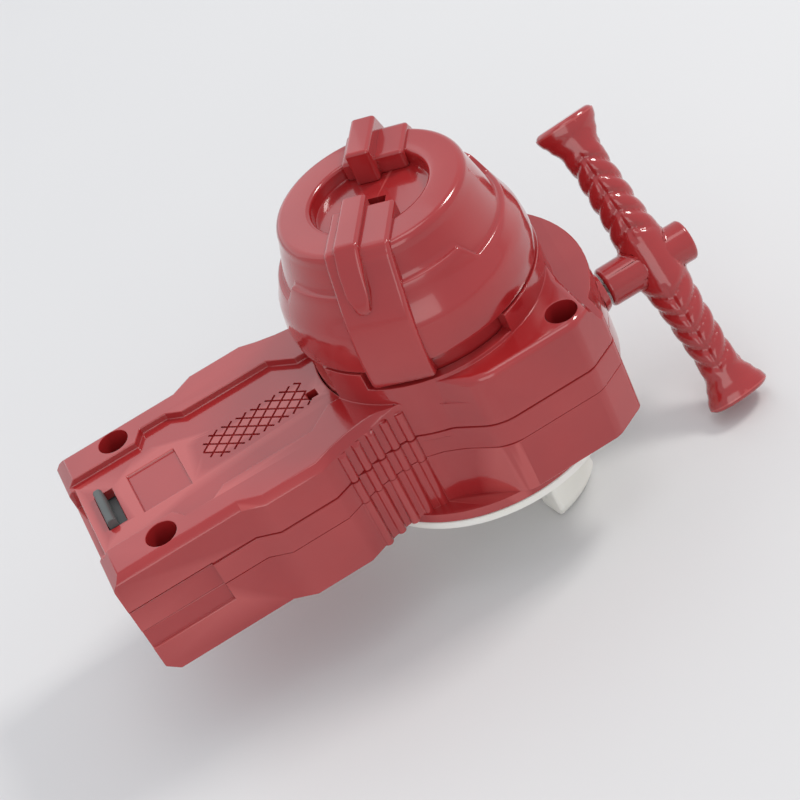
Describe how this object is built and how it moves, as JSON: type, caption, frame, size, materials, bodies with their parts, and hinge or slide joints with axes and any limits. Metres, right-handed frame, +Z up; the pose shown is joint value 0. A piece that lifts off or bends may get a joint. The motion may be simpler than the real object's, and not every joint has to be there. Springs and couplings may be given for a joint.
{
  "type": "spinning top launcher",
  "caption": "Hand-held pull-cord launcher for a spinning top: gripped casing, turning selector dial, retracting cord with T-bar handle, and a launch disc with prongs below.",
  "frame": {"origin": "on the launch axis at the lower face of the launch disc, in the mouth of its centre socket", "axes": "+Z up along the launch axis towards the selector dial, +X the way the cord is pulled out, the tail along -X"},
  "size_m": [0.131, 0.06, 0.0825],
  "materials": {
    "red_plastic": "gloss",
    "white_plastic": "translucent white",
    "drive_plastic": "matte",
    "dark_plastic": "matte",
    "steel": "plain",
    "bush_metal": "plain",
    "cord": "braided"
  },
  "bodies": {
    "casing": {"lower_shell": "red_plastic", "upper_shell": "red_plastic", "casing_screws": "steel", "cord_eyelet": "red_plastic", "hub_bush": "bush_metal", "idler_pins": "steel", "spring_cup": "drive_plastic", "spring_lid": "drive_plastic", "cup_screws": "steel", "upper_bush": "bush_metal", "recoil_spring": "steel", "cord_lead": "cord", "latch_spring": "steel"},
    "selector": {"selector_dial": "red_plastic", "selector_cam": "dark_plastic", "cam_screws": "steel", "dial_retainer": "drive_plastic"},
    "spool": {"cord_spool": "drive_plastic", "ring_gear": "drive_plastic", "cord_winding": "cord"},
    "idler_1": {"idler_gear_1": "drive_plastic"},
    "idler_2": {"idler_gear_2": "drive_plastic"},
    "idler_3": {"idler_gear_3": "drive_plastic"},
    "rotor": {"launch_disc": "white_plastic", "prong_front": "white_plastic", "prong_back": "white_plastic", "main_shaft": "steel", "sun_pinion": "steel", "shift_collar": "dark_plastic"},
    "cord_end": {"cord_pull": "cord", "cord_knot": "cord"},
    "handle": {"pull_handle": "red_plastic", "handle_plug": "red_plastic"},
    "latch": {"grip_latch": "dark_plastic"}
  },
  "joints": [
    {"name": "handle_pull", "type": "slide", "parent": "casing", "child": "cord_end", "axis": [1, 0, 0], "range_m": [0, 0.5], "stiffness_N_per_m": 6, "springref_m": -0.25},
    {"name": "handle_twist", "type": "hinge", "parent": "cord_end", "child": "handle", "pos_m": [0.04, 0, 0.013], "axis": [1, 0, 0], "continuous": true},
    {"name": "dial_turn", "type": "hinge", "parent": "casing", "child": "selector", "pos_m": [0, 0, 0.04], "axis": [0, 0, 1], "range_deg": [0, 33]},
    {"name": "latch_slide", "type": "slide", "parent": "casing", "child": "latch", "axis": [1, 0, 0], "range_m": [0, 0.0016], "stiffness_N_per_m": 900, "springref_m": -0.001, "deforming": ["latch_spring"]},
    {"name": "spool_spin", "type": "hinge", "parent": "casing", "child": "spool", "pos_m": [0, 0, 0.013], "axis": [0, 0, 1], "range_deg": [-1, 1747.82]},
    {"name": "idler_spin_1", "type": "hinge", "parent": "casing", "child": "idler_1", "pos_m": [0.0096, 0, 0.007], "axis": [0, 0, 1], "range_deg": [-1, 5241.47]},
    {"name": "idler_spin_2", "type": "hinge", "parent": "casing", "child": "idler_2", "pos_m": [-0.0048, 0.00831, 0.007], "axis": [0, 0, 1], "range_deg": [-1, 5241.47]},
    {"name": "idler_spin_3", "type": "hinge", "parent": "casing", "child": "idler_3", "pos_m": [-0.0048, -0.00831, 0.007], "axis": [0, 0, 1], "range_deg": [-1, 5241.47]},
    {"name": "launch_spin", "type": "hinge", "parent": "casing", "child": "rotor", "pos_m": [0, 0, 0.002], "axis": [0, 0, 1], "range_deg": [-5241.47, 1]}
  ],
  "couplings": [
    {"joint": "spool_spin", "follows": "handle_pull", "rad_per_m": 60.976},
    {"joint": "idler_spin_1", "follows": "handle_pull", "rad_per_m": 182.93},
    {"joint": "idler_spin_2", "follows": "handle_pull", "rad_per_m": 182.93},
    {"joint": "idler_spin_3", "follows": "handle_pull", "rad_per_m": 182.93},
    {"joint": "launch_spin", "follows": "handle_pull", "rad_per_m": -182.93}
  ]
}
